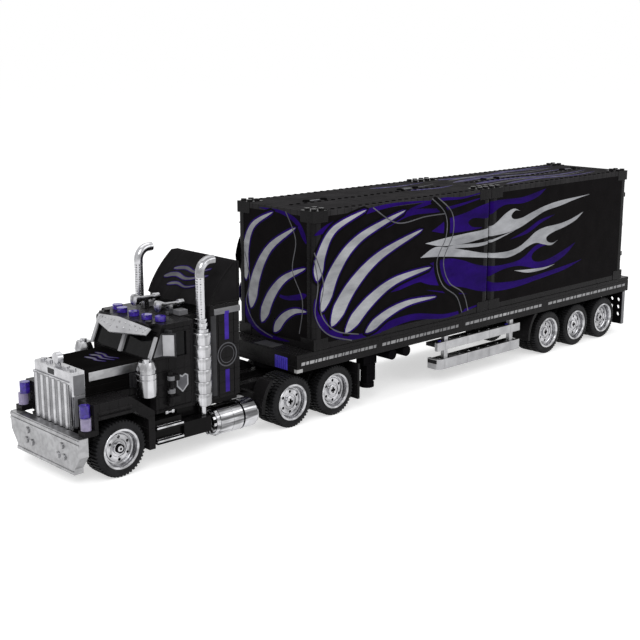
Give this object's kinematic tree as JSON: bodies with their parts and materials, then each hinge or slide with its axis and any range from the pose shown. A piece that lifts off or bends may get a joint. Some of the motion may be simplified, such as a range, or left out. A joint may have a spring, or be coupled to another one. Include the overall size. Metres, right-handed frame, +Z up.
{
  "type": "toy articulated lorry",
  "caption": "Brick-built toy articulated lorry: long-nosed tractor with opening doors and steering, and a flatbed trailer that carries containers end to end.",
  "frame": {"origin": "centre of the bounding box on the floor that the wheels stand on", "axes": "+X to the lorry's left, +Y from its nose to its tail, +Z up"},
  "size_m": [0.1016, 0.6864, 0.1769],
  "materials": {
    "black": "gloss moulded plastic",
    "dark_grey": "gloss moulded plastic",
    "box_panel": "gloss plastic with printed flames",
    "silver": "silver metal-coated plastic",
    "purple_clear": "clear tinted plastic",
    "smoke_glass": "smoked clear plastic",
    "tyre": "satin rubber"
  },
  "bodies": {
    "tractor": {"air_cleaners": "silver", "air_horns": "silver", "bonnet": "black", "bumper": "silver", "cab_interior": "dark_grey", "cab_shell": "black", "chassis": "black", "exhaust_stacks": "silver", "fifth_wheel": "dark_grey", "front_axle": "dark_grey", "front_fenders": "black", "fuel_tanks": "silver", "grille": "silver", "headlamps": "purple_clear", "mirrors": "silver", "rear_fenders": "black", "roof_fairing": "black", "roof_lamps": "purple_clear", "screen_trim": "silver", "side_steps": "black", "sleeper": "black", "windscreen": "smoke_glass"},
    "knuckle_left": {"knuckle_left": "dark_grey"},
    "knuckle_right": {"knuckle_right": "dark_grey"},
    "front_wheel_left": {"front_rim_left": "silver", "front_tyre_left": "tyre"},
    "front_wheel_right": {"front_rim_right": "silver", "front_tyre_right": "tyre"},
    "door_left": {"door_left": "black", "door_glass_left": "smoke_glass"},
    "door_right": {"door_right": "black", "door_glass_right": "smoke_glass"},
    "drive_axle_1": {"drive_rims_1": "silver", "drive_tyres_1": "tyre"},
    "drive_axle_2": {"drive_rims_2": "silver", "drive_tyres_2": "tyre"},
    "rear_door_left": {"rear_door_left": "box_panel"},
    "rear_door_right": {"rear_door_right": "box_panel"},
    "trailer_axle_1": {"trailer_rims_1": "silver", "trailer_tyres_1": "tyre"},
    "trailer_axle_2": {"trailer_rims_2": "silver", "trailer_tyres_2": "tyre"},
    "trailer_axle_3": {"trailer_rims_3": "silver", "trailer_tyres_3": "tyre"},
    "trailer": {"trailer_frame": "black", "landing_gear": "dark_grey", "air_tanks": "dark_grey", "side_skirts": "silver", "trailer_fenders": "black", "tail_panel": "dark_grey", "front_box_base": "black", "front_box_sides": "box_panel", "front_box_roof": "dark_grey", "front_box_posts": "black", "front_box_ends": "box_panel", "rear_box_base": "black", "rear_box_sides": "box_panel", "rear_box_roof": "dark_grey", "rear_box_posts": "black", "rear_box_front": "box_panel"}
  },
  "joints": [
    {"name": "steer_left", "type": "hinge", "parent": "tractor", "child": "knuckle_left", "pos_m": [0.035, -0.3068, 0.0215], "axis": [0, 0, 1], "range_deg": [-12, 12]},
    {"name": "steer_right", "type": "hinge", "parent": "tractor", "child": "knuckle_right", "pos_m": [-0.035, -0.3068, 0.0215], "axis": [0, 0, 1], "range_deg": [-12, 12]},
    {"name": "front_roll_left", "type": "hinge", "parent": "knuckle_left", "child": "front_wheel_left", "pos_m": [0.04, -0.3068, 0.0215], "axis": [1, 0, 0], "continuous": true},
    {"name": "front_roll_right", "type": "hinge", "parent": "knuckle_right", "child": "front_wheel_right", "pos_m": [-0.04, -0.3068, 0.0215], "axis": [1, 0, 0], "continuous": true},
    {"name": "drive_roll_1", "type": "hinge", "parent": "tractor", "child": "drive_axle_1", "pos_m": [0, -0.1414, 0.0215], "axis": [1, 0, 0], "continuous": true},
    {"name": "drive_roll_2", "type": "hinge", "parent": "tractor", "child": "drive_axle_2", "pos_m": [0, -0.0934, 0.0215], "axis": [1, 0, 0], "continuous": true},
    {"name": "fifth_wheel_turn", "type": "hinge", "parent": "tractor", "child": "trailer", "pos_m": [0, -0.1174, 0.0447], "axis": [0, 0, 1], "range_deg": [-90, 90]},
    {"name": "trailer_roll_1", "type": "hinge", "parent": "trailer", "child": "trailer_axle_1", "pos_m": [0, 0.2032, 0.0215], "axis": [1, 0, 0], "continuous": true},
    {"name": "trailer_roll_2", "type": "hinge", "parent": "trailer", "child": "trailer_axle_2", "pos_m": [0, 0.2512, 0.0215], "axis": [1, 0, 0], "continuous": true},
    {"name": "trailer_roll_3", "type": "hinge", "parent": "trailer", "child": "trailer_axle_3", "pos_m": [0, 0.2992, 0.0215], "axis": [1, 0, 0], "continuous": true},
    {"name": "door_left_hinge", "type": "hinge", "parent": "tractor", "child": "door_left", "pos_m": [0.0432, -0.2586, 0.06], "axis": [0, 0, -1], "range_deg": [0, 70]},
    {"name": "door_right_hinge", "type": "hinge", "parent": "tractor", "child": "door_right", "pos_m": [-0.0432, -0.2586, 0.06], "axis": [0, 0, 1], "range_deg": [0, 70]},
    {"name": "rear_door_left_hinge", "type": "hinge", "parent": "trailer", "child": "rear_door_left", "pos_m": [0.0424, 0.3321, 0.1176], "axis": [0, 0, -1], "range_deg": [0, 120]},
    {"name": "rear_door_right_hinge", "type": "hinge", "parent": "trailer", "child": "rear_door_right", "pos_m": [-0.0424, 0.3321, 0.1176], "axis": [0, 0, 1], "range_deg": [0, 120]}
  ],
  "couplings": [
    {"joint": "steer_right", "follows": "steer_left", "ratio": 1}
  ]
}
